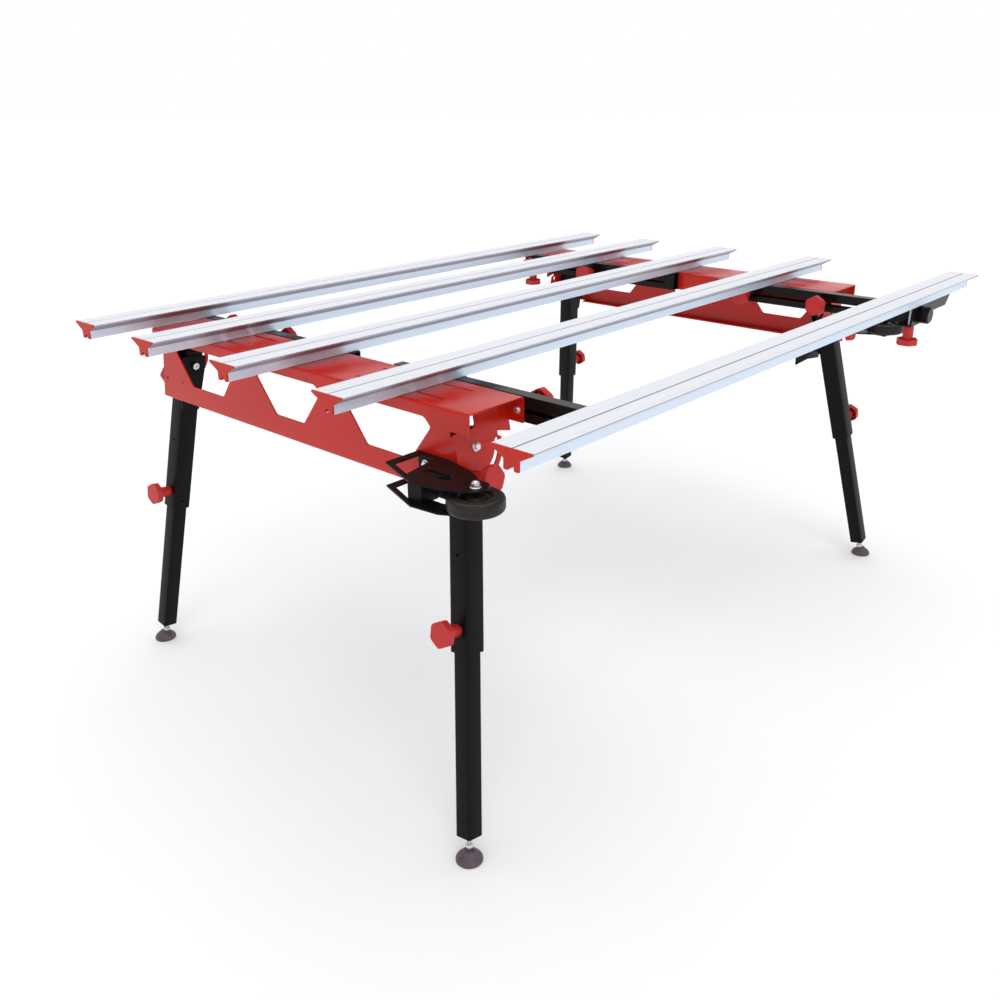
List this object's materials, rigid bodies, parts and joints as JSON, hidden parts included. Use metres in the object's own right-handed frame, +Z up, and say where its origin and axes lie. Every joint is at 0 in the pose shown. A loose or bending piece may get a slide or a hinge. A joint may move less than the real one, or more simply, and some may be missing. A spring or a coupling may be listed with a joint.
{
  "type": "folding slab workbench",
  "caption": "Folding bench: red sheet-steel trestles on splayed telescopic legs carry parallel aluminium rails for supporting large slabs.",
  "frame": {"origin": "on the floor, under the centre of the bench's bounding box", "axes": "+X along the rails to the right trestle, +Y along the trestles from the extended near rail to the far rail, +Z up"},
  "size_m": [1.8, 1.3534, 0.849],
  "materials": {
    "beam_red": "semi-gloss powder coat",
    "cap_red": "moulded, slight sheen",
    "knob_red": "moulded, satin",
    "rail_aluminium": "satin anodised extrusion",
    "frame_black": "semi-gloss powder coat",
    "wheel_rubber": "matt",
    "foot_rubber": "matt",
    "zinc_steel": "bright zinc"
  },
  "bodies": {
    "frame": {"left_beam": "beam_red", "right_beam": "beam_red", "rail_3": "rail_aluminium", "rail_3_cap_left": "cap_red", "rail_3_cap_right": "cap_red", "left_wheel_bracket": "frame_black", "right_wheel_bracket": "frame_black", "left_near_pivot_bolt": "zinc_steel", "left_far_pivot_bolt": "zinc_steel", "right_near_pivot_bolt": "zinc_steel", "right_far_pivot_bolt": "zinc_steel"},
    "near_carriage": {"rail_5": "rail_aluminium", "rail_5_cap_left": "cap_red", "rail_5_cap_right": "cap_red", "left_near_bar": "frame_black", "right_near_bar": "frame_black"},
    "far_carriage": {"rail_1": "rail_aluminium", "rail_1_cap_left": "cap_red", "rail_1_cap_right": "cap_red", "left_far_bar": "frame_black", "right_far_bar": "frame_black"},
    "rail_2_set": {"rail_2": "rail_aluminium", "rail_2_cap_left": "cap_red", "rail_2_cap_right": "cap_red"},
    "rail_4_set": {"rail_4": "rail_aluminium", "rail_4_cap_left": "cap_red", "rail_4_cap_right": "cap_red"},
    "left_near_leg": {"left_near_leg_outer": "frame_black"},
    "left_near_lower_leg": {"left_near_leg_inner": "frame_black"},
    "left_near_foot": {"left_near_foot": "foot_rubber"},
    "left_near_lock_knob": {"left_near_lock_knob": "knob_red"},
    "left_near_height_knob": {"left_near_height_knob": "knob_red"},
    "left_far_leg": {"left_far_leg_outer": "frame_black"},
    "left_far_lower_leg": {"left_far_leg_inner": "frame_black"},
    "left_far_foot": {"left_far_foot": "foot_rubber"},
    "left_far_lock_knob": {"left_far_lock_knob": "knob_red"},
    "left_far_height_knob": {"left_far_height_knob": "knob_red"},
    "left_bar_knob_1": {"left_bar_knob_1": "knob_red"},
    "left_bar_knob_2": {"left_bar_knob_2": "knob_red"},
    "left_bar_knob_3": {"left_bar_knob_3": "knob_red"},
    "left_bar_knob_4": {"left_bar_knob_4": "knob_red"},
    "left_wheel": {"left_wheel": "wheel_rubber"},
    "right_near_leg": {"right_near_leg_outer": "frame_black"},
    "right_near_lower_leg": {"right_near_leg_inner": "frame_black"},
    "right_near_foot": {"right_near_foot": "foot_rubber"},
    "right_near_lock_knob": {"right_near_lock_knob": "knob_red"},
    "right_near_height_knob": {"right_near_height_knob": "knob_red"},
    "right_far_leg": {"right_far_leg_outer": "frame_black"},
    "right_far_lower_leg": {"right_far_leg_inner": "frame_black"},
    "right_far_foot": {"right_far_foot": "foot_rubber"},
    "right_far_lock_knob": {"right_far_lock_knob": "knob_red"},
    "right_far_height_knob": {"right_far_height_knob": "knob_red"},
    "right_bar_knob_1": {"right_bar_knob_1": "knob_red"},
    "right_bar_knob_2": {"right_bar_knob_2": "knob_red"},
    "right_bar_knob_3": {"right_bar_knob_3": "knob_red"},
    "right_bar_knob_4": {"right_bar_knob_4": "knob_red"},
    "right_wheel": {"right_wheel": "wheel_rubber"},
    "near_clamp_knob": {"near_clamp_knob": "knob_red"},
    "far_clamp_knob": {"far_clamp_knob": "knob_red"}
  },
  "joints": [
    {"name": "near_carriage_slide", "type": "slide", "parent": "frame", "child": "near_carriage", "axis": [0, 1, 0], "range_m": [0, 0.12]},
    {"name": "far_carriage_slide", "type": "slide", "parent": "frame", "child": "far_carriage", "axis": [0, 1, 0], "range_m": [0, 0.2]},
    {"name": "rail_2_slide", "type": "slide", "parent": "frame", "child": "rail_2_set", "axis": [0, 1, 0], "range_m": [-0.09, 0.12]},
    {"name": "rail_4_slide", "type": "slide", "parent": "frame", "child": "rail_4_set", "axis": [0, 1, 0], "range_m": [-0.08, 0.13]},
    {"name": "left_near_leg_fold", "type": "hinge", "parent": "frame", "child": "left_near_leg", "pos_m": [-0.7048, -0.35924, 0.736], "axis": [0, -0.9842, 0.1772], "range_deg": [0, 99.3]},
    {"name": "left_near_leg_height", "type": "slide", "parent": "left_near_leg", "child": "left_near_lower_leg", "axis": [0.1959, 0.1737, 0.9651], "range_m": [-0.05, 0.2]},
    {"name": "left_near_foot_level", "type": "slide", "parent": "left_near_lower_leg", "child": "left_near_foot", "axis": [0.1959, 0.1737, 0.9651], "range_m": [-0.012, 0.01]},
    {"name": "left_near_lock_knob_turn", "type": "hinge", "parent": "left_near_leg", "child": "left_near_lock_knob", "pos_m": [-0.71518, -0.39413, 0.68947], "axis": [0, -0.9842, 0.1772], "range_deg": [0, 360]},
    {"name": "left_near_height_knob_turn", "type": "hinge", "parent": "left_near_leg", "child": "left_near_height_knob", "pos_m": [-0.79083, -0.41491, 0.42674], "axis": [-0.9806, 0.0347, 0.1928], "range_deg": [0, 360]},
    {"name": "left_far_leg_fold", "type": "hinge", "parent": "frame", "child": "left_far_leg", "pos_m": [-0.7048, 0.51876, 0.736], "axis": [0, -0.9842, -0.1772], "range_deg": [0, 95]},
    {"name": "left_far_leg_height", "type": "slide", "parent": "left_far_leg", "child": "left_far_lower_leg", "axis": [0.1221, -0.1758, 0.9768], "range_m": [-0.05, 0.2]},
    {"name": "left_far_foot_level", "type": "slide", "parent": "left_far_lower_leg", "child": "left_far_foot", "axis": [0.1221, -0.1758, 0.9768], "range_m": [-0.012, 0.01]},
    {"name": "left_far_lock_knob_turn", "type": "hinge", "parent": "left_far_leg", "child": "left_far_lock_knob", "pos_m": [-0.71127, 0.55377, 0.68885], "axis": [0, 0.9842, 0.1772], "range_deg": [0, 360]},
    {"name": "left_far_height_knob_turn", "type": "hinge", "parent": "left_far_leg", "child": "left_far_height_knob", "pos_m": [-0.76711, 0.57541, 0.42127], "axis": [-0.9925, -0.0216, 0.1202], "range_deg": [0, 360]},
    {"name": "left_bar_knob_1_turn", "type": "hinge", "parent": "frame", "child": "left_bar_knob_1", "pos_m": [-0.5858, -0.40024, 0.7885], "axis": [1, 0, 0], "range_deg": [0, 360]},
    {"name": "left_bar_knob_2_turn", "type": "hinge", "parent": "frame", "child": "left_bar_knob_2", "pos_m": [-0.5858, -0.18524, 0.7885], "axis": [1, 0, 0], "range_deg": [0, 360]},
    {"name": "left_bar_knob_3_turn", "type": "hinge", "parent": "frame", "child": "left_bar_knob_3", "pos_m": [-0.5858, 0.34476, 0.7885], "axis": [1, 0, 0], "range_deg": [0, 360]},
    {"name": "left_bar_knob_4_turn", "type": "hinge", "parent": "frame", "child": "left_bar_knob_4", "pos_m": [-0.5858, 0.55976, 0.7885], "axis": [1, 0, 0], "range_deg": [0, 360]},
    {"name": "left_wheel_spin", "type": "hinge", "parent": "frame", "child": "left_wheel", "pos_m": [-0.814, -0.48624, 0.699], "axis": [0, 0, 1], "continuous": true},
    {"name": "right_near_leg_fold", "type": "hinge", "parent": "frame", "child": "right_near_leg", "pos_m": [0.7048, -0.35924, 0.736], "axis": [0, 0.9842, -0.1772], "range_deg": [0, 99.9]},
    {"name": "right_near_leg_height", "type": "slide", "parent": "right_near_leg", "child": "right_near_lower_leg", "axis": [-0.207, 0.1733, 0.9629], "range_m": [-0.05, 0.2]},
    {"name": "right_near_foot_level", "type": "slide", "parent": "right_near_lower_leg", "child": "right_near_foot", "axis": [-0.207, 0.1733, 0.9629], "range_m": [-0.012, 0.01]},
    {"name": "right_near_lock_knob_turn", "type": "hinge", "parent": "right_near_leg", "child": "right_near_lock_knob", "pos_m": [0.71577, -0.39411, 0.68959], "axis": [0, -0.9842, 0.1772], "range_deg": [0, 360]},
    {"name": "right_near_height_knob_turn", "type": "hinge", "parent": "right_near_leg", "child": "right_near_height_knob", "pos_m": [0.79439, -0.41473, 0.42771], "axis": [0.9783, 0.0367, 0.2037], "range_deg": [0, 360]},
    {"name": "right_far_leg_fold", "type": "hinge", "parent": "frame", "child": "right_far_leg", "pos_m": [0.7048, 0.51876, 0.736], "axis": [0, 0.9842, 0.1772], "range_deg": [0, 99.9]},
    {"name": "right_far_leg_height", "type": "slide", "parent": "right_far_leg", "child": "right_far_lower_leg", "axis": [-0.207, -0.1733, 0.9629], "range_m": [-0.05, 0.2]},
    {"name": "right_far_foot_level", "type": "slide", "parent": "right_far_lower_leg", "child": "right_far_foot", "axis": [-0.207, -0.1733, 0.9629], "range_m": [-0.012, 0.01]},
    {"name": "right_far_lock_knob_turn", "type": "hinge", "parent": "right_far_leg", "child": "right_far_lock_knob", "pos_m": [0.71577, 0.55363, 0.68959], "axis": [0, 0.9842, 0.1772], "range_deg": [0, 360]},
    {"name": "right_far_height_knob_turn", "type": "hinge", "parent": "right_far_leg", "child": "right_far_height_knob", "pos_m": [0.79439, 0.57425, 0.42771], "axis": [0.9783, -0.0367, 0.2037], "range_deg": [0, 360]},
    {"name": "right_bar_knob_1_turn", "type": "hinge", "parent": "frame", "child": "right_bar_knob_1", "pos_m": [0.5858, -0.40024, 0.7885], "axis": [-1, 0, 0], "range_deg": [0, 360]},
    {"name": "right_bar_knob_2_turn", "type": "hinge", "parent": "frame", "child": "right_bar_knob_2", "pos_m": [0.5858, -0.18524, 0.7885], "axis": [-1, 0, 0], "range_deg": [0, 360]},
    {"name": "right_bar_knob_3_turn", "type": "hinge", "parent": "frame", "child": "right_bar_knob_3", "pos_m": [0.5858, 0.34476, 0.7885], "axis": [-1, 0, 0], "range_deg": [0, 360]},
    {"name": "right_bar_knob_4_turn", "type": "hinge", "parent": "frame", "child": "right_bar_knob_4", "pos_m": [0.5858, 0.55976, 0.7885], "axis": [-1, 0, 0], "range_deg": [0, 360]},
    {"name": "right_wheel_spin", "type": "hinge", "parent": "frame", "child": "right_wheel", "pos_m": [0.814, -0.48624, 0.699], "axis": [0, 0, 1], "continuous": true},
    {"name": "near_clamp_knob_turn", "type": "hinge", "parent": "near_carriage", "child": "near_clamp_knob", "pos_m": [0.5664, -0.63724, 0.7671], "axis": [0, 0, -1], "range_deg": [0, 360]},
    {"name": "far_clamp_knob_turn", "type": "hinge", "parent": "far_carriage", "child": "far_clamp_knob", "pos_m": [0.5989, 0.58776, 0.7671], "axis": [0, 0, -1], "range_deg": [0, 360]}
  ]
}
